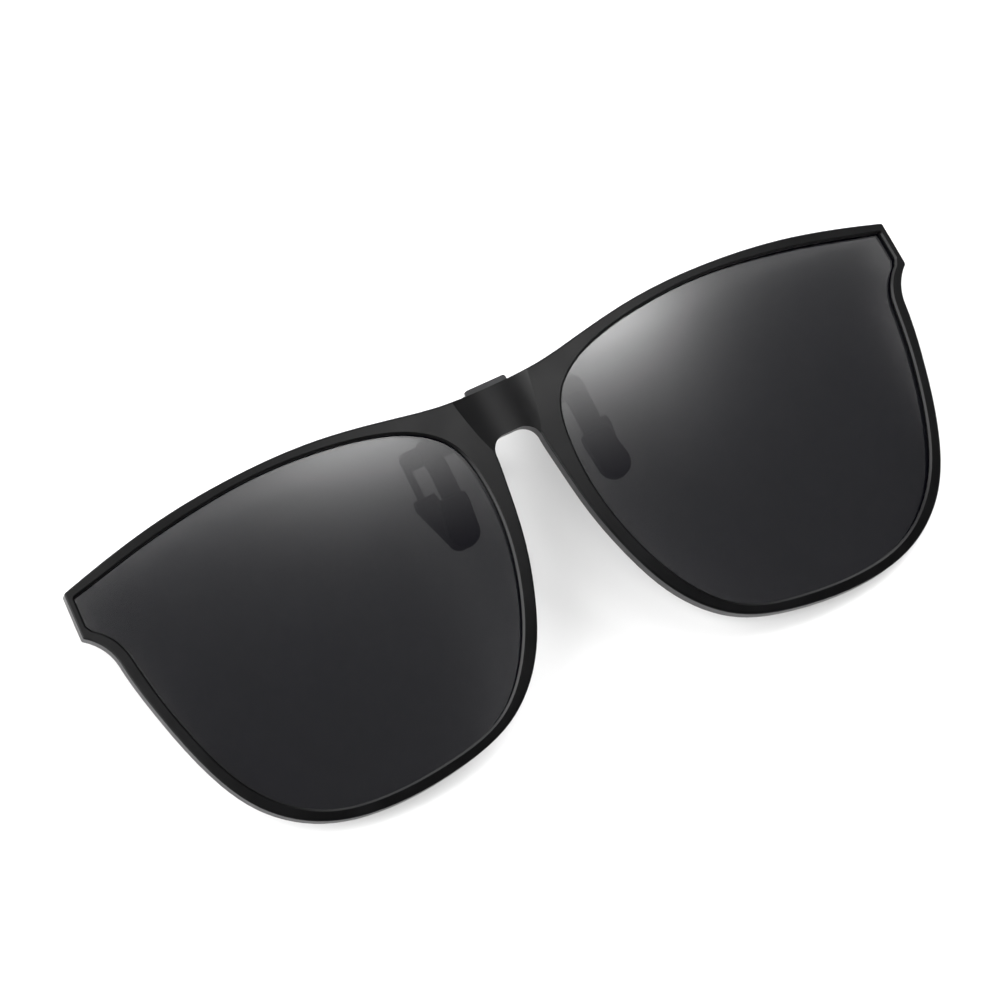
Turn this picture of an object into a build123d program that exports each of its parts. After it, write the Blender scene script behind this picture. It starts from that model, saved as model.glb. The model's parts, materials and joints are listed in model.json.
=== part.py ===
from build123d import *

import math
import os

# Clip-on sunglasses: a one-piece lens front on a flip-up hinge and a sprung four-legged clamp.
#
# Every piece is drawn in the front's own frame: X across the face, Y up the lenses and Z out of
# the front, with Z = 0 at the middle of the front surface. At the end the whole object is laid on
# its back on a table, resting on the lower rims and the two end pieces. Millimetres.

# Front and lenses
BASE_RADIUS = 276.0  # the front surface is part of a sphere of this radius
RIM_DEPTH = 3.0
RIM_BEVEL = 0.35  # bevel round the front of each lens opening
RIM_EDGE = 0.3  # softened outer edge of the front
LENS_RECESS = 0.9
LENS_THICKNESS = 1.1
GROOVE_DEPTH = 0.6  # how far the lens reaches into the rim
BLANK = 22.0  # depth of the block that the front is cut from
BRIDGE_TOP = 24.35
ARCH_TOP = 16.35
ARCH_RADIUS = 2.8
TROUGH_RADIUS = 14.0  # concave saddle across the bridge
TROUGH_DEPTH = 1.55  # at the top of the bridge
TROUGH_LEAN = 10.3  # degrees, so that the saddle narrows towards the nose

# Flip hinge
HINGE_Y = 23.4
HINGE_Z = -5.35
KNUCKLE_RADIUS = 1.15
PIN_RADIUS = 0.5
RUNNING = 0.03  # clearance of a turning pin, washer or head
RIVET_RIM = 0.35  # how far the pins' riveted heads stand out round them
RIVET_HEAD = 0.4
KNUCKLE_IN = 2.35  # outer knuckles run from here to KNUCKLE_OUT on each side
KNUCKLE_OUT = 3.6
CENTRE_KNUCKLE = 2.0  # half length of the clip's own knuckle
BRACKET_FRONT = -3.4
BRACKET_THICKNESS = 0.7
BRACKET_TOP = 25.3
SCREW_X = 4.75
SCREW_Y = 19.2
SCREW_RADIUS = 0.6
SCREW_HEAD = 1.1
SCREW_LENGTH = 1.7

# Clamp
SHEET = 0.7  # spring steel sheet of both jaws
FRONT_SHEET = -4.5  # front face of the front jaw's bar
LEG_STEP = 0.9  # the front legs step forward, closer to the lenses
REAR_SHEET = -9.95  # front face of the rear jaw's bar
BAR_LOW = 18.1
BAR_HIGH = 21.3
CLAMP_Y = 20.0
CLAMP_Z = -7.6
CLAMP_PIN_RADIUS = 0.6
EAR_RADIUS = 1.4
FRONT_EAR_X = 4.7
REAR_EAR_X = 3.7
LEG_IN = 10.9
LEG_WIDTH = 3.2
LEG_END = 5.0
REAR_LEG_X = 15.7
REAR_LEG_WIDTH = 1.1
REAR_LEG_BEND = 13.4
TONGUE_WIDTH = 1.4
TONGUE_X = 14.6
LEVER_HALF = 3.0
LEVER_TOP = 25.0
SPRING_WIRE = 0.22
SPRING_RADIUS = 1.0
SPRING_TURNS = 6.25
SPRING_LENGTH = 4.6
FRONT_SPRING_LEG = 2.0
REAR_SPRING_LEG = 1.6

# Rubber pads
PAD_X = 13.3
PAD_TOP = 11.3
PAD_BOTTOM = 2.8
PAD_FRONT = -3.05
PAD_BACK = -5.1
PAD_GAP = 0.2  # the rear pads stop just short of the front pads

SPHERE_CENTRE = (0, 0, -BASE_RADIUS)
SIDES = {"left": -1, "right": 1}  # as seen from the front
os.makedirs("parts", exist_ok=True)


def drop(x, y):
    """How far the front surface has curved back at (x, y)."""
    return BASE_RADIUS - math.sqrt(BASE_RADIUS**2 - x * x - y * y)


# The object rests on the rear edges of the lower rims and of the end pieces.
RIM_REST = (38.0, -28.3)
END_REST = (73.4, 15.8)
LEAN = math.degrees(math.atan2(drop(*END_REST) - drop(*RIM_REST), END_REST[1] - RIM_REST[1]))


# ---------------------------------------------------------------- outlines, right half

with BuildSketch() as front_outline:
    with BuildLine():
        Polyline((0, ARCH_TOP), (0, BRIDGE_TOP), (6, BRIDGE_TOP))
        Spline(
            (6, BRIDGE_TOP), (16, 25.85), (28, 27.85), (42, 28.3), (56, 27.05), (73.1, 23.3),
            tangents=[(1, 0.05), (1, -0.26)],
        )
        Polyline((73.1, 23.3), (73.45, 15.6))
        ThreePointArc((73.45, 15.6), (71.0, 12.8), (70.0, 9.8))
        Spline(
            (70.0, 9.8), (68.25, 0), (65.1, -11), (60.3, -20), (52.5, -26.05), (42, -28.4),
            (30, -27.65), (20, -24.55), (12, -16.65), (8.1, -8), (5.5, 2), (4.25, 11), (4.0, 13.5),
            tangents=[(-0.1, -1), (-0.07, 1)],
        )
        Polyline((4.0, 13.5), (4.0, ARCH_TOP), (0, ARCH_TOP))
    make_face()
    fillet(front_outline.vertices().sort_by_distance((4.0, ARCH_TOP))[0], ARCH_RADIUS)
    fillet(front_outline.vertices().sort_by_distance((73.1, 23.3))[0], 0.5)
    fillet(front_outline.vertices().sort_by_distance((73.45, 15.6))[0], 0.5)
    mirror(about=Plane.YZ)


def opening_outline(grow):
    """The right lens opening, or with grow the outline of the lens that reaches into its groove."""
    centre_x, centre_y = 39.7, 0.2
    half_width, half_height = 32.4, 26.7

    def pushed(x, y):
        along_x = grow * (x - centre_x) / half_width
        along_y = grow * (y - centre_y) / half_height
        return (x + along_x, y + along_y)

    edge = [
        (71.95, 22.0), (60, 24.55), (50, 26.1), (40, 26.85), (30, 26.35), (21.9, 25.0),
        (14.8, 22.5), (9.85, 18.3), (7.8, 11), (7.95, 2.5), (10.1, -6.9), (14.4, -16.2),
        (21.2, -23.2), (31, -26), (42, -26.55), (51.3, -24.6), (58.6, -19), (63.3, -10.6),
        (66.4, 0), (68.1, 10),
    ]
    corners = [pushed(71.6, 16.1), pushed(72.2, 17.2), pushed(*edge[0])]
    with BuildSketch() as outline:
        with BuildLine():
            Spline([pushed(x, y) for x, y in edge], tangents=[(-1, 0.2), (0.14, 1)])
            ThreePointArc(pushed(68.1, 10), pushed(69.25, 13.4), corners[0])
            Polyline(corners)
        make_face()
        for corner in corners:
            fillet(outline.vertices().sort_by_distance(corner)[0], 0.4)
    return outline


lens_opening = opening_outline(0)


# ---------------------------------------------------------------- lenses

with BuildPart() as lens_right:
    with BuildSketch(Plane.XY.offset(-BLANK)):
        add(opening_outline(GROOVE_DEPTH).sketch)
    extrude(amount=BLANK)
    with Locations(SPHERE_CENTRE):
        Sphere(BASE_RADIUS - LENS_RECESS, rotation=(90, 0, 0), mode=Mode.INTERSECT)
        Sphere(BASE_RADIUS - LENS_RECESS - LENS_THICKNESS, rotation=(90, 0, 0), mode=Mode.SUBTRACT)

with BuildPart() as lens_left:
    add(lens_right.part.mirror(Plane.YZ))


# ---------------------------------------------------------------- hinge bracket and its screws

with BuildSketch() as bracket_outline:
    with Locations((0, SCREW_Y + 0.35)):
        RectangleRounded(12.4, 3.9, 1.2)
    with Locations((0, (SCREW_Y + BRACKET_TOP) / 2)):
        Rectangle(2 * KNUCKLE_OUT, BRACKET_TOP - SCREW_Y)
    fillet(bracket_outline.vertices().group_by(Axis.Y)[-1], 0.5)

with BuildPart() as hinge_bracket:
    with BuildSketch(Plane.XY.offset(BRACKET_FRONT)):
        add(bracket_outline.sketch)
    extrude(amount=-BRACKET_THICKNESS)
    for side in SIDES.values():
        with BuildSketch(Plane.YZ.offset(KNUCKLE_IN if side > 0 else -KNUCKLE_OUT)):
            with Locations((HINGE_Y, HINGE_Z)):
                Circle(KNUCKLE_RADIUS)
            with Locations((HINGE_Y, (HINGE_Z + BRACKET_FRONT - BRACKET_THICKNESS) / 2)):
                Rectangle(2 * KNUCKLE_RADIUS, BRACKET_FRONT - BRACKET_THICKNESS - HINGE_Z)
        extrude(amount=KNUCKLE_OUT - KNUCKLE_IN)
    with BuildSketch(Plane.YZ.offset(-KNUCKLE_OUT)):
        with Locations((HINGE_Y, HINGE_Z)):
            Circle(PIN_RADIUS + RUNNING)
    extrude(amount=2 * KNUCKLE_OUT, mode=Mode.SUBTRACT)
    with Locations((0, BRACKET_TOP - 0.25, BRACKET_FRONT - 1.1)):
        Box(2 * KNUCKLE_OUT - 0.6, 0.5, 1.0)
    with Locations(
        Plane((SCREW_X, SCREW_Y, BRACKET_FRONT - BRACKET_THICKNESS), z_dir=(0, 0, -1)),
        Plane((-SCREW_X, SCREW_Y, BRACKET_FRONT - BRACKET_THICKNESS), z_dir=(0, 0, -1)),
    ):
        CounterSinkHole(SCREW_RADIUS, SCREW_HEAD, depth=2)


def bracket_screw(side):
    """Countersunk screw through the bracket into the back of the bridge."""
    seat = BRACKET_FRONT - BRACKET_THICKNESS
    cone = SCREW_HEAD - SCREW_RADIUS
    with BuildPart() as screw:
        with BuildSketch(Plane.XZ.offset(-SCREW_Y)):
            with BuildLine():
                Polyline(
                    (0, seat), (SCREW_HEAD, seat), (SCREW_RADIUS, seat + cone),
                    (SCREW_RADIUS, seat + SCREW_LENGTH), (0, seat + SCREW_LENGTH + 0.35), close=True,
                )
            make_face()
        revolve(axis=Axis((0, SCREW_Y, 0), (0, 0, 1)))
        with BuildSketch(Plane.XY.offset(seat)):
            with Locations((0, SCREW_Y)):
                Rectangle(1.5, 0.3)
                Rectangle(0.3, 1.5)
        extrude(amount=0.25, mode=Mode.SUBTRACT)
    screw.part.position += (side * SCREW_X, 0, 0)
    return screw


bracket_screws = {name: bracket_screw(side) for name, side in SIDES.items()}


# ---------------------------------------------------------------- front frame

with BuildPart() as front_frame:
    with BuildSketch(Plane.XY.offset(-BLANK)):
        add(front_outline.sketch)
    extrude(amount=BLANK + 1)
    with BuildSketch(Plane.XY.offset(-BLANK)):
        add(lens_opening.sketch)
        mirror(about=Plane.YZ)
    extrude(amount=BLANK + 1, mode=Mode.SUBTRACT)
    with Locations(SPHERE_CENTRE):
        Sphere(BASE_RADIUS, rotation=(90, 0, 0), mode=Mode.INTERSECT)
        Sphere(BASE_RADIUS - RIM_DEPTH, rotation=(90, 0, 0), mode=Mode.SUBTRACT)
    front_face = front_frame.faces().filter_by(GeomType.SPHERE).sort_by(Axis.Z)[-1]
    opening_edges = [edge for wire in front_face.inner_wires() for edge in wire.edges()]
    chamfer(opening_edges, RIM_BEVEL)
    front_face = front_frame.faces().filter_by(GeomType.SPHERE).sort_by(Axis.Z)[-1]
    fillet(front_face.outer_wire().edges(), RIM_EDGE)
    # Saddle across the bridge
    trough_z = -drop(0, BRIDGE_TOP) - TROUGH_DEPTH + TROUGH_RADIUS
    with Locations(Location((0, BRIDGE_TOP, trough_z), (90 - TROUGH_LEAN, 0, 0))):
        Cylinder(TROUGH_RADIUS, 40, mode=Mode.SUBTRACT)
    # Groove that holds the lenses, seat for the bracket and its screws
    add(lens_right.part, mode=Mode.SUBTRACT)
    add(lens_left.part, mode=Mode.SUBTRACT)
    with BuildSketch(Plane.XY.offset(BRACKET_FRONT)):
        add(bracket_outline.sketch)
    extrude(amount=-5, mode=Mode.SUBTRACT)
    for screw in bracket_screws.values():
        add(screw.part, mode=Mode.SUBTRACT)


# ---------------------------------------------------------------- flip hinge

with BuildPart() as flip_pin:
    with BuildSketch(Plane.YZ.offset(-KNUCKLE_OUT - RUNNING)):
        with Locations((HINGE_Y, HINGE_Z)):
            Circle(PIN_RADIUS)
    extrude(amount=2 * (KNUCKLE_OUT + RUNNING))
    for side in SIDES.values():
        with BuildSketch(Plane.YZ.offset(side * (KNUCKLE_OUT + RUNNING))):
            with Locations((HINGE_Y, HINGE_Z)):
                Circle(PIN_RADIUS + RIVET_RIM)
        extrude(amount=side * RIVET_HEAD)
    fillet(flip_pin.faces().sort_by(Axis.X)[0].edges(), 0.2)
    fillet(flip_pin.faces().sort_by(Axis.X)[-1].edges(), 0.2)


def flip_washer(side):
    """Friction washer between the clip's knuckle and the bracket's."""
    with BuildPart() as washer:
        with BuildSketch(Plane.YZ.offset(side * CENTRE_KNUCKLE)):
            with Locations((HINGE_Y, HINGE_Z)):
                Circle(KNUCKLE_RADIUS - 0.1)
                Circle(PIN_RADIUS, mode=Mode.SUBTRACT)
        extrude(amount=side * (KNUCKLE_IN - CENTRE_KNUCKLE - RUNNING))
    return washer


flip_washers = {name: flip_washer(side) for name, side in SIDES.items()}


# ---------------------------------------------------------------- front jaw

SHEET_BACK = FRONT_SHEET - SHEET
LEG_FRONT = FRONT_SHEET + LEG_STEP
LEG_BACK = LEG_FRONT - SHEET

with BuildPart() as front_jaw:
    # Bar, and the stem up to the centre knuckle
    with BuildSketch(Plane.XY.offset(FRONT_SHEET)) as bar:
        with Locations((0, (BAR_LOW + BAR_HIGH) / 2)):
            Rectangle(2 * (LEG_IN + LEG_WIDTH), BAR_HIGH - BAR_LOW)
        fillet(bar.vertices().group_by(Axis.Y)[-1], 1.2)
        with Locations((0, (BAR_HIGH + HINGE_Y) / 2)):
            Rectangle(2 * CENTRE_KNUCKLE, HINGE_Y - BAR_HIGH)
    extrude(amount=-SHEET)
    # Legs, stepped forward below the bar
    for side in SIDES.values():
        with BuildSketch(Plane.YZ.offset(side * LEG_IN)):
            with BuildLine():
                Polyline(
                    (BAR_LOW, FRONT_SHEET), (BAR_LOW - 2, LEG_FRONT), (LEG_END, LEG_FRONT),
                    (LEG_END, LEG_BACK), (BAR_LOW - 2.3, LEG_BACK), (BAR_LOW - 0.3, SHEET_BACK),
                    (BAR_LOW, SHEET_BACK), close=True,
                )
            make_face()
        extrude(amount=side * LEG_WIDTH)
    leg_corners = front_jaw.edges().filter_by(Axis.Z).group_by(Axis.Y)[0]
    fillet(leg_corners, 1.2)
    # Ears for the clamp pin
    for side in SIDES.values():
        with BuildSketch(Plane.YZ.offset(side * FRONT_EAR_X)):
            with Locations((CLAMP_Y, CLAMP_Z)):
                Circle(EAR_RADIUS)
            with Locations((CLAMP_Y, (CLAMP_Z + SHEET_BACK) / 2)):
                Rectangle(2 * EAR_RADIUS, SHEET_BACK - CLAMP_Z)
        extrude(amount=side * SHEET)
    with BuildSketch(Plane.YZ.offset(-FRONT_EAR_X - SHEET)):
        with Locations((CLAMP_Y, CLAMP_Z)):
            Circle(CLAMP_PIN_RADIUS)
    extrude(amount=2 * (FRONT_EAR_X + SHEET), mode=Mode.SUBTRACT)
    # Centre knuckle
    for radius, mode in ((KNUCKLE_RADIUS, Mode.ADD), (PIN_RADIUS, Mode.SUBTRACT)):
        with BuildSketch(Plane.YZ.offset(-CENTRE_KNUCKLE)):
            with Locations((HINGE_Y, HINGE_Z)):
                Circle(radius)
        extrude(amount=2 * CENTRE_KNUCKLE, mode=mode)


# ---------------------------------------------------------------- rear jaw

REAR_BACK = REAR_SHEET - SHEET
PLATE_LOW = 12.4  # bottom of the small plate that each thin leg widens into

with BuildPart() as rear_jaw:
    with BuildSketch(Plane.XY.offset(REAR_SHEET)) as rear_outline:
        with Locations((0, (BAR_LOW + BAR_HIGH) / 2)):
            Rectangle(2 * REAR_LEG_X + REAR_LEG_WIDTH, BAR_HIGH - BAR_LOW)
        fillet(rear_outline.vertices().group_by(Axis.Y)[-1], 1.2)
        with Locations((0, (CLAMP_Y + LEVER_TOP) / 2)):
            Rectangle(2 * LEVER_HALF, LEVER_TOP - CLAMP_Y)
        fillet(rear_outline.vertices().group_by(Axis.Y)[-1], 0.8)
        for side in SIDES.values():
            with Locations((side * REAR_LEG_X, (BAR_LOW + PLATE_LOW) / 2)):
                Rectangle(REAR_LEG_WIDTH, BAR_LOW - PLATE_LOW)
            with Locations((side * (TONGUE_X + REAR_LEG_X) / 2, (REAR_LEG_BEND + PLATE_LOW) / 2)):
                Rectangle(
                    REAR_LEG_X - TONGUE_X + REAR_LEG_WIDTH, REAR_LEG_BEND - PLATE_LOW,
                )
    extrude(amount=-SHEET)
    # Tongues that slant forward inside the rubber pads
    for side in SIDES.values():
        with BuildSketch(Plane.YZ.offset(side * (TONGUE_X - TONGUE_WIDTH / 2))):
            with BuildLine():
                Polyline(
                    (PLATE_LOW + 0.2, REAR_SHEET), (4.9, -6.25), (4.6, -6.9),
                    (PLATE_LOW, REAR_BACK), (PLATE_LOW + 0.2, REAR_BACK), close=True,
                )
            make_face()
        extrude(amount=side * TONGUE_WIDTH)
    # Ears on the clamp pin
    for side in SIDES.values():
        with BuildSketch(Plane.YZ.offset(side * REAR_EAR_X)):
            with Locations((CLAMP_Y, CLAMP_Z)):
                Circle(EAR_RADIUS)
            with Locations((CLAMP_Y, (CLAMP_Z + REAR_SHEET) / 2)):
                Rectangle(2 * EAR_RADIUS, CLAMP_Z - REAR_SHEET)
        extrude(amount=side * SHEET)
    with BuildSketch(Plane.YZ.offset(-REAR_EAR_X - SHEET)):
        with Locations((CLAMP_Y, CLAMP_Z)):
            Circle(CLAMP_PIN_RADIUS + RUNNING)
    extrude(amount=2 * (REAR_EAR_X + SHEET), mode=Mode.SUBTRACT)


# ---------------------------------------------------------------- clamp pin, spring, thumb pad

with BuildPart() as clamp_pin:
    with BuildSketch(Plane.YZ.offset(-FRONT_EAR_X - SHEET)):
        with Locations((CLAMP_Y, CLAMP_Z)):
            Circle(CLAMP_PIN_RADIUS)
    extrude(amount=2 * (FRONT_EAR_X + SHEET))
    for side in SIDES.values():
        with BuildSketch(Plane.YZ.offset(side * (FRONT_EAR_X + SHEET))):
            with Locations((CLAMP_Y, CLAMP_Z)):
                Circle(CLAMP_PIN_RADIUS + RIVET_RIM)
        extrude(amount=side * RIVET_HEAD)
    rivet_ends = clamp_pin.faces().sort_by(Axis.X)
    fillet(rivet_ends[0].edges() + rivet_ends[-1].edges(), 0.2)

SPRING_START = math.radians(45)  # the coil starts this far below the front of the pin
spring_plane = Plane(
    origin=(-SPRING_LENGTH / 2, CLAMP_Y, CLAMP_Z),
    x_dir=(0, -math.sin(SPRING_START), math.cos(SPRING_START)),
    z_dir=(1, 0, 0),
)
SPRING_SLOPE = SPRING_LENGTH / (SPRING_TURNS * 2 * math.pi * SPRING_RADIUS)


def spring_point(turns, along):
    """A point off the end of the coil: so many turns from its start, then along its tangent."""
    angle = 2 * math.pi * turns
    return (
        SPRING_RADIUS * math.cos(angle) - along * math.sin(angle),
        SPRING_RADIUS * math.sin(angle) + along * math.cos(angle),
        SPRING_LENGTH * turns / SPRING_TURNS + along * SPRING_SLOPE,
    )


with BuildPart() as torsion_spring:
    with BuildLine() as wire:
        Line(spring_point(0, -FRONT_SPRING_LEG), spring_point(0, 0))
        Helix(SPRING_LENGTH / SPRING_TURNS, SPRING_LENGTH, SPRING_RADIUS)
        Line(spring_point(SPRING_TURNS, 0), spring_point(SPRING_TURNS, REAR_SPRING_LEG))
    path = wire.wires()[0]
    with BuildSketch(Plane(origin=path @ 0, z_dir=path % 0)):
        Circle(SPRING_WIRE)
    sweep(path=path, is_frenet=True)
torsion_spring.part.locate(spring_plane.location)

with BuildPart() as thumb_pad:
    with BuildSketch(Plane.XY.offset(REAR_SHEET + 0.3)):
        with Locations((0, LEVER_TOP - 1.4)):
            RectangleRounded(2 * LEVER_HALF + 1, 3.6, 1.0)
    extrude(amount=-SHEET - 1.1)
    fillet(thumb_pad.faces().sort_by(Axis.Z)[0].edges(), 0.35)
    for row in range(3):
        with BuildSketch(Plane.XY.offset(REAR_BACK - 0.8)):
            with Locations((0, LEVER_TOP - 2.3 + 0.9 * row)):
                SlotOverall(2 * LEVER_HALF - 1.2, 0.4)
        extrude(amount=0.25, mode=Mode.SUBTRACT)
    add(rear_jaw.part, mode=Mode.SUBTRACT)


# ---------------------------------------------------------------- rubber pads


def front_pad(side):
    """Rubber sleeve on the end of a front leg."""
    with BuildPart() as pad:
        with BuildSketch(Plane.XY.offset(PAD_FRONT)) as outline:
            with BuildLine():
                Polyline((10.75, 5.4), (10.3, 9.6), (10.35, PAD_TOP), (14.9, PAD_TOP), (15.95, 5.8))
                ThreePointArc((15.95, 5.8), (PAD_X + 0.05, PAD_BOTTOM), (10.75, 5.4))
            make_face()
            fillet(outline.vertices().group_by(Axis.Y)[-1], 0.6)
        extrude(amount=PAD_BACK - PAD_FRONT)
        fillet(pad.faces().filter_by(Axis.Z).edges(), 0.35)
        if side < 0:
            mirror(about=Plane.YZ, mode=Mode.REPLACE)
        add(front_jaw.part, mode=Mode.SUBTRACT)
    return pad


def rear_pad(side):
    """Rubber pad on a slanted tongue, with a collar round the end of the thin leg."""
    with BuildPart() as pad:
        with BuildSketch(Plane.XY.offset(PAD_BACK)):
            with BuildLine():
                Polyline(
                    (12.0, 4.9), (13.3, 11.9), (13.6, 13.5), (17.1, 13.5), (17.3, 12.1), (15.6, 4.9),
                )
                ThreePointArc((15.6, 4.9), (13.8, 3.05), (12.0, 4.9))
            make_face()
        extrude(amount=-8)
        with BuildSketch(Plane.YZ.offset(10)):
            with BuildLine():
                Polyline(
                    (13.5, -9.3), (12.0, -9.0), (3.7, PAD_BACK - PAD_GAP), (2.9, PAD_BACK - PAD_GAP),
                    (2.9, -7.1), (3.4, -7.3), (11.7, -11.0), (13.5, -11.0), close=True,
                )
            make_face()
        extrude(amount=9, mode=Mode.INTERSECT)
        fillet(pad.edges(), 0.25)
        if side < 0:
            mirror(about=Plane.YZ, mode=Mode.REPLACE)
        add(rear_jaw.part, mode=Mode.SUBTRACT)
    return pad


front_pads = {name: front_pad(side) for name, side in SIDES.items()}
rear_pads = {name: rear_pad(side) for name, side in SIDES.items()}


# ---------------------------------------------------------------- laid on the table and written

pieces = {
    "front_frame": front_frame,
    "lens_left": lens_left,
    "lens_right": lens_right,
    "hinge_bracket": hinge_bracket,
    "flip_pin": flip_pin,
    "front_jaw": front_jaw,
    "rear_jaw": rear_jaw,
    "clamp_pin": clamp_pin,
    "torsion_spring": torsion_spring,
    "thumb_pad": thumb_pad,
}
for name in SIDES:
    pieces[f"bracket_screw_{name}"] = bracket_screws[name]
    pieces[f"flip_washer_{name}"] = flip_washers[name]
    pieces[f"front_pad_{name}"] = front_pads[name]
    pieces[f"rear_pad_{name}"] = rear_pads[name]

lean = Location((0, 0, 0), (LEAN, 0, 0))
box = front_frame.part.moved(lean).bounding_box()
place = Location((0, -box.center().Y, -box.min.Z)) * lean

for name, piece in pieces.items():
    piece.part.move(place)
    piece.part.label = name
    export_step(piece.part, f"parts/{name}.step")
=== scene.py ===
"""Clip-on sunglasses lying front up on a white table, in soft studio light."""

import json
import math

import bpy
from mathutils import Matrix, Vector

MM = 0.001

# Camera, about the front's own axes
AZIMUTH, ELEVATION, ROLL = 13.35, -6.0, -26.05
DISTANCE = 731.5 * MM
FIELD_OF_VIEW = 12
TARGET = (-7.17, -15.26, 5.35)  # millimetres from the flip hinge

# Materials
PLASTIC_IOR = 1.5
PLASTIC_SPECULAR = 0.145
LENS_OPACITY = 0.755  # of each of a lens's two surfaces

# Table
TABLE_HALF = 3.0
TABLE_GLOW = 0.22

# Studio surround. Each light has a brightness and the edges that bound it, as an axis of the
# direction, where the edge lies along it and how soft it is. A negative softness steps down.
SKY_LIGHTS = {
    "low walls": (0.2, (("Z", 0.4, -0.05),)),
    "left panel": (9.0, (("X", -0.47, -0.03), ("Y", -0.1, 0.05))),
    "high right panel": (4.0, (("X", 0.76, 0.02), ("Y", -0.05, 0.05), ("Z", 0.52, 0.03))),
    "low back strip": (6.0, (("Y", 0.8, 0.03), ("Z", 0.42, -0.04))),
}
CEILING_LIGHT = 0.03
WINDOW_EDGES = (("Y", 0.25, -0.025), ("X", -0.04, 0.055), ("X", 0.47, -0.035), ("Z", 0.3, 0.05))
WINDOW_START = 0.15  # along Y, with the light fading towards the front of this
WINDOW_LEVEL = 0.03  # how far beyond it the light goes on rising
WINDOW_FADE = 0.049
WINDOW_LIGHT = 8.0
WINDOW_SLOPE = 15.7  # brighter to the right

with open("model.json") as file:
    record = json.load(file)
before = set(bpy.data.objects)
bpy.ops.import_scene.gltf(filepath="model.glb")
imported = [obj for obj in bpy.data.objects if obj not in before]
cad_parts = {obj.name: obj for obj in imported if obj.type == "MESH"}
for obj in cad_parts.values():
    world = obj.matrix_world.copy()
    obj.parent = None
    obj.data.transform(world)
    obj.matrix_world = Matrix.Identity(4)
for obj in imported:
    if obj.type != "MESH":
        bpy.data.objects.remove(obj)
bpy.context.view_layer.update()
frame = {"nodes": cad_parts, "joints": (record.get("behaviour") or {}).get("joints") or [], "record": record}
record = frame["record"]


# ---------------------------------------------------------------- the front's own axes

def front_axes():
    """Origin at the flip hinge, and unit vectors across the face, up the lenses and out of the front."""
    hinge = next(j for j in frame["joints"] if j["name"] == "flip_hinge")
    down = Vector(record["mounts"][0]["axis"]).normalized()
    up = -down
    across = Vector((1, 0, 0))
    return Vector(hinge["pos_m"]), across, up, across.cross(up)


HINGE, ACROSS, UP, OUT = front_axes()


def on_front(x, y, z):
    """A point given in millimetres from the flip hinge, in the front's own axes."""
    return HINGE + MM * (x * ACROSS + y * UP + z * OUT)


# ---------------------------------------------------------------- camera

def make_camera():
    """Camera over the front, a little below and left of it, and rolled so that the front slants."""
    azimuth, elevation, roll = map(math.radians, (AZIMUTH, ELEVATION, ROLL))
    back = (
        -math.sin(azimuth) * math.cos(elevation) * ACROSS
        + math.sin(elevation) * UP
        + math.cos(azimuth) * math.cos(elevation) * OUT
    )
    level = UP.cross(back).normalized()
    upright = back.cross(level)
    right = math.cos(roll) * level + math.sin(roll) * upright
    top = math.cos(roll) * upright - math.sin(roll) * level
    data = bpy.data.cameras.new("camera")
    data.sensor_width = 36
    data.lens = data.sensor_width / 2 / math.tan(math.radians(FIELD_OF_VIEW) / 2)
    data.clip_start = 0.01
    camera = bpy.data.objects.new("camera", data)
    rotation = Matrix((right, top, back)).transposed().to_4x4()
    camera.matrix_world = Matrix.Translation(on_front(*TARGET) + DISTANCE * back) @ rotation
    bpy.context.scene.collection.objects.link(camera)
    bpy.context.scene.camera = camera


# ---------------------------------------------------------------- materials

def new_material(name):
    material = bpy.data.materials.new(name)
    material.use_nodes = True
    tree = material.node_tree
    return material, tree, tree.nodes["Principled BSDF"]


def noise(tree, scale, detail=4.0, stretch=(1, 1, 1)):
    """Noise in the object's own coordinates, scale in features per metre."""
    place = tree.nodes.new("ShaderNodeTexCoord")
    mapping = tree.nodes.new("ShaderNodeMapping")
    mapping.inputs["Scale"].default_value = stretch
    texture = tree.nodes.new("ShaderNodeTexNoise")
    texture.inputs["Scale"].default_value = scale
    texture.inputs["Detail"].default_value = detail
    tree.links.new(place.outputs["Object"], mapping.inputs["Vector"])
    tree.links.new(mapping.outputs["Vector"], texture.inputs["Vector"])
    return texture.outputs["Fac"]


def ramp(tree, value, low, high, start=0.35, end=0.65):
    """Map a value to a number or a colour between low and high."""
    if isinstance(low, float):
        node = tree.nodes.new("ShaderNodeMapRange")
        node.inputs["From Min"].default_value = start
        node.inputs["From Max"].default_value = end
        node.inputs["To Min"].default_value = low
        node.inputs["To Max"].default_value = high
        tree.links.new(value, node.inputs["Value"])
        return node.outputs["Result"]
    node = tree.nodes.new("ShaderNodeValToRGB")
    node.color_ramp.elements[0].position = start
    node.color_ramp.elements[1].position = end
    node.color_ramp.elements[0].color = (*low, 1)
    node.color_ramp.elements[1].color = (*high, 1)
    tree.links.new(value, node.inputs["Fac"])
    return node.outputs["Color"]


def bump(tree, shader, height, distance, strength=1.0):
    node = tree.nodes.new("ShaderNodeBump")
    node.inputs["Strength"].default_value = strength
    node.inputs["Distance"].default_value = distance
    tree.links.new(height, node.inputs["Height"])
    tree.links.new(node.outputs["Normal"], shader.inputs["Normal"])


def moulded_plastic():
    """Matt black nylon with a fine spark-eroded grain."""
    material, tree, shader = new_material("matt_black_nylon")
    shader.inputs["IOR"].default_value = PLASTIC_IOR
    shader.inputs["Specular IOR Level"].default_value = PLASTIC_SPECULAR
    cloud = noise(tree, 180, 3)
    grain = noise(tree, 9000, 2)
    colour = ramp(tree, cloud, (0.0006, 0.0006, 0.0007), (0.0012, 0.0012, 0.0014))
    tree.links.new(colour, shader.inputs["Base Color"])
    tree.links.new(ramp(tree, cloud, 0.33, 0.38), shader.inputs["Roughness"])
    bump(tree, shader, grain, 0.004 * MM)
    return material


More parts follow.
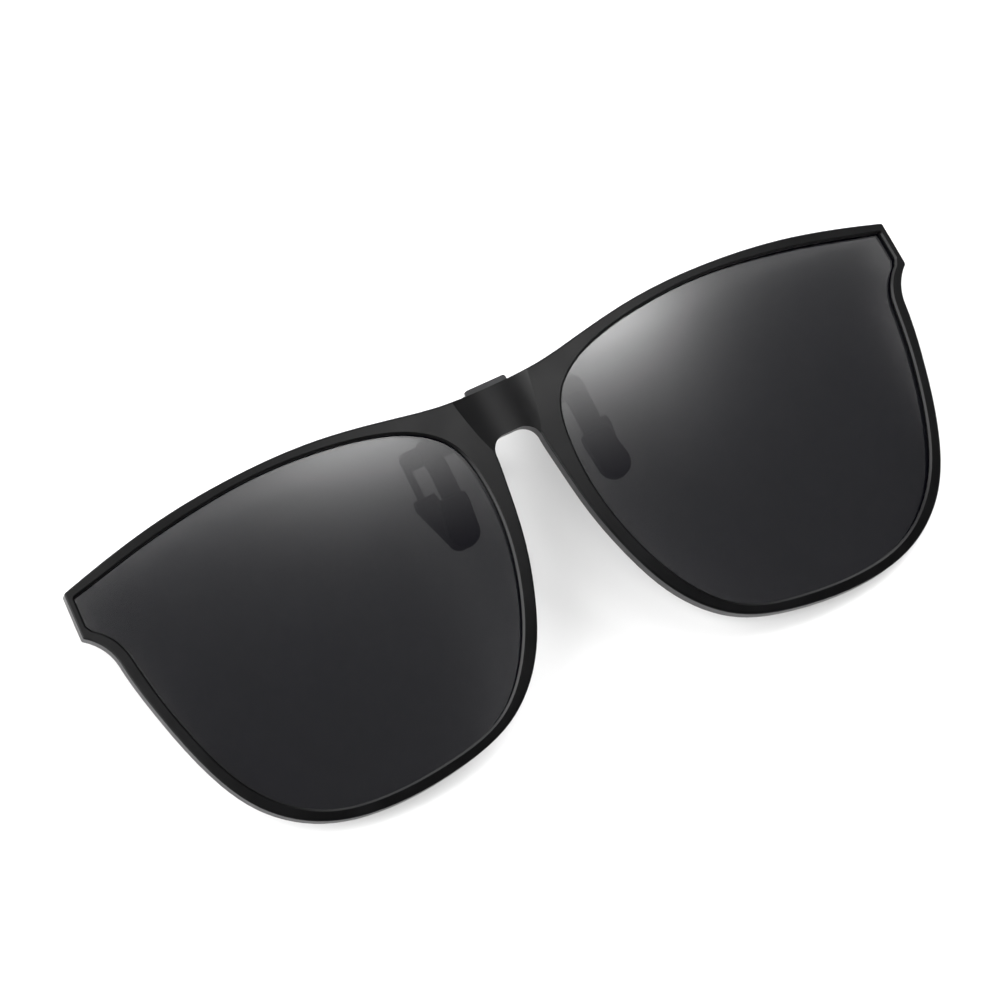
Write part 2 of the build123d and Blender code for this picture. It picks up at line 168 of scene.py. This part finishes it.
def dark_lens():
    """Polished grey lens: a clear gloss over a deep neutral tint that lets a little light through."""
    material, tree, shader = new_material("grey_lens")
    shader.inputs["IOR"].default_value = PLASTIC_IOR
    shader.inputs["Alpha"].default_value = LENS_OPACITY
    haze = noise(tree, 60, 3)
    colour = ramp(tree, haze, (0.0003, 0.0003, 0.0014), (0.0005, 0.0005, 0.0018))
    tree.links.new(colour, shader.inputs["Base Color"])
    tree.links.new(ramp(tree, haze, 0.05, 0.07), shader.inputs["Roughness"])
    return material


def black_steel():
    """Spring steel under a thin black coat, a little brighter where the coat has rubbed."""
    material, tree, shader = new_material("black_coated_steel")
    rub = noise(tree, 420, 5)
    colour = ramp(tree, rub, (0.008, 0.008, 0.009), (0.024, 0.024, 0.026), 0.45, 0.75)
    tree.links.new(colour, shader.inputs["Base Color"])
    tree.links.new(ramp(tree, rub, 0.34, 0.5), shader.inputs["Roughness"])
    shader.inputs["Metallic"].default_value = 0.35
    bump(tree, shader, noise(tree, 5000, 2), 0.003 * MM)
    return material


def bright_steel():
    """Turned stainless steel with fine marks round its axis."""
    material, tree, shader = new_material("stainless_steel")
    marks = noise(tree, 2600, 3, (6, 1, 1))
    colour = ramp(tree, marks, (0.36, 0.36, 0.37), (0.6, 0.6, 0.61))
    tree.links.new(colour, shader.inputs["Base Color"])
    tree.links.new(ramp(tree, marks, 0.22, 0.36), shader.inputs["Roughness"])
    shader.inputs["Metallic"].default_value = 1.0
    return material


def pad_rubber():
    """Soft black rubber, dull, with a faint dusty bloom."""
    material, tree, shader = new_material("black_rubber")
    bloom = noise(tree, 700, 5)
    colour = ramp(tree, bloom, (0.007, 0.007, 0.0072), (0.016, 0.016, 0.0165))
    tree.links.new(colour, shader.inputs["Base Color"])
    tree.links.new(ramp(tree, bloom, 0.62, 0.78), shader.inputs["Roughness"])
    bump(tree, shader, noise(tree, 6500, 2), 0.008 * MM)
    return material


def dress_frame():
    """Give every CAD node the material of its slot."""
    by_slot = {
        "frame_plastic": moulded_plastic(),
        "lens": dark_lens(),
        "black_steel": black_steel(),
        "bright_steel": bright_steel(),
        "pad_rubber": pad_rubber(),
    }
    for part in record["subparts"]:
        node = frame["nodes"][part["node"]]
        for slot in node.material_slots:
            slot.material = by_slot[part["material_slot"]]


# ---------------------------------------------------------------- floor and light

def make_floor():
    """White table top, with a very soft mottling."""
    corners = [(x * TABLE_HALF, y * TABLE_HALF, 0) for x, y in ((-1, -1), (1, -1), (1, 1), (-1, 1))]
    mesh = bpy.data.meshes.new("floor")
    mesh.from_pydata(corners, [], [(0, 1, 2, 3)])
    floor = bpy.data.objects.new("floor", mesh)
    material, tree, shader = new_material("white_table")
    colour = ramp(tree, noise(tree, 4, 2), (0.49, 0.49, 0.49), (0.51, 0.51, 0.51))
    tree.links.new(colour, shader.inputs["Base Color"])
    shader.inputs["Roughness"].default_value = 0.8
    shader.inputs["Specular IOR Level"].default_value = 0.1
    shader.inputs["Emission Color"].default_value = (1, 1, 1, 1)
    shader.inputs["Emission Strength"].default_value = TABLE_GLOW
    mesh.materials.append(material)
    bpy.context.scene.collection.objects.link(floor)


class Sums:
    """Small helper that writes arithmetic as Math nodes."""

    def __init__(self, tree):
        self.tree = tree

    def do(self, operation, *values):
        node = self.tree.nodes.new("ShaderNodeMath")
        node.operation = operation
        for socket, value in zip(node.inputs, values):
            if isinstance(value, (int, float)):
                socket.default_value = value
            else:
                self.tree.links.new(value, socket)
        return node.outputs["Value"]

    def step(self, value, centre, width):
        """Smooth step from 0 to 1 as value passes centre. A negative width steps down."""
        power = self.do("EXPONENT", self.do("DIVIDE", self.do("SUBTRACT", centre, value), width))
        return self.do("DIVIDE", 1.0, self.do("ADD", 1.0, power))


def make_sky():
    """Studio surround under a nearly dark ceiling: dim low walls, three bright panels, and one soft
    window of light high behind the bridge, which fades out gently towards the front."""
    world = bpy.data.worlds.new("studio")
    bpy.context.scene.world = world
    world.use_nodes = True
    tree = world.node_tree
    sums = Sums(tree)
    place = tree.nodes.new("ShaderNodeTexCoord")
    split = tree.nodes.new("ShaderNodeSeparateXYZ")
    tree.links.new(place.outputs["Generated"], split.inputs["Vector"])
    tree.nodes["Background"].inputs["Color"].default_value = (1, 1, 1, 1)

    total = CEILING_LIGHT
    for brightness, edges in SKY_LIGHTS.values():
        light = brightness
        for axis, where, softness in edges:
            light = sums.do("MULTIPLY", light, sums.step(split.outputs[axis], where, softness))
        total = sums.do("ADD", total, light)

    nearer = sums.do("MINIMUM", sums.do("SUBTRACT", split.outputs["Y"], WINDOW_START), WINDOW_LEVEL)
    fading = sums.do("EXPONENT", sums.do("DIVIDE", nearer, WINDOW_FADE))
    gain = sums.do("MULTIPLY_ADD", split.outputs["X"], WINDOW_SLOPE, WINDOW_LIGHT)
    window = sums.do("MULTIPLY", sums.do("MAXIMUM", gain, 0.0), fading)
    for axis, where, softness in WINDOW_EDGES:
        window = sums.do("MULTIPLY", window, sums.step(split.outputs[axis], where, softness))
    tree.links.new(sums.do("ADD", total, window), tree.nodes["Background"].inputs["Strength"])


def fill_lamp(name, direction, strength, spread):
    """Wide soft lamp that lights the table without showing in anything glossy."""
    data = bpy.data.lights.new(name, "SUN")
    data.energy = strength
    data.angle = math.radians(spread)
    lamp = bpy.data.objects.new(name, data)
    lamp.rotation_euler = Vector(direction).to_track_quat("Z", "Y").to_euler()
    lamp.visible_glossy = False
    bpy.context.scene.collection.objects.link(lamp)


make_camera()
dress_frame()
make_floor()
make_sky()
fill_lamp("fill_right", (0.85, 0.25, 0.45), strength=5.4, spread=50)
fill_lamp("fill_overhead", (-0.1, -0.3, 0.95), strength=1.3, spread=30)
bpy.context.scene.view_settings.view_transform = "Standard"
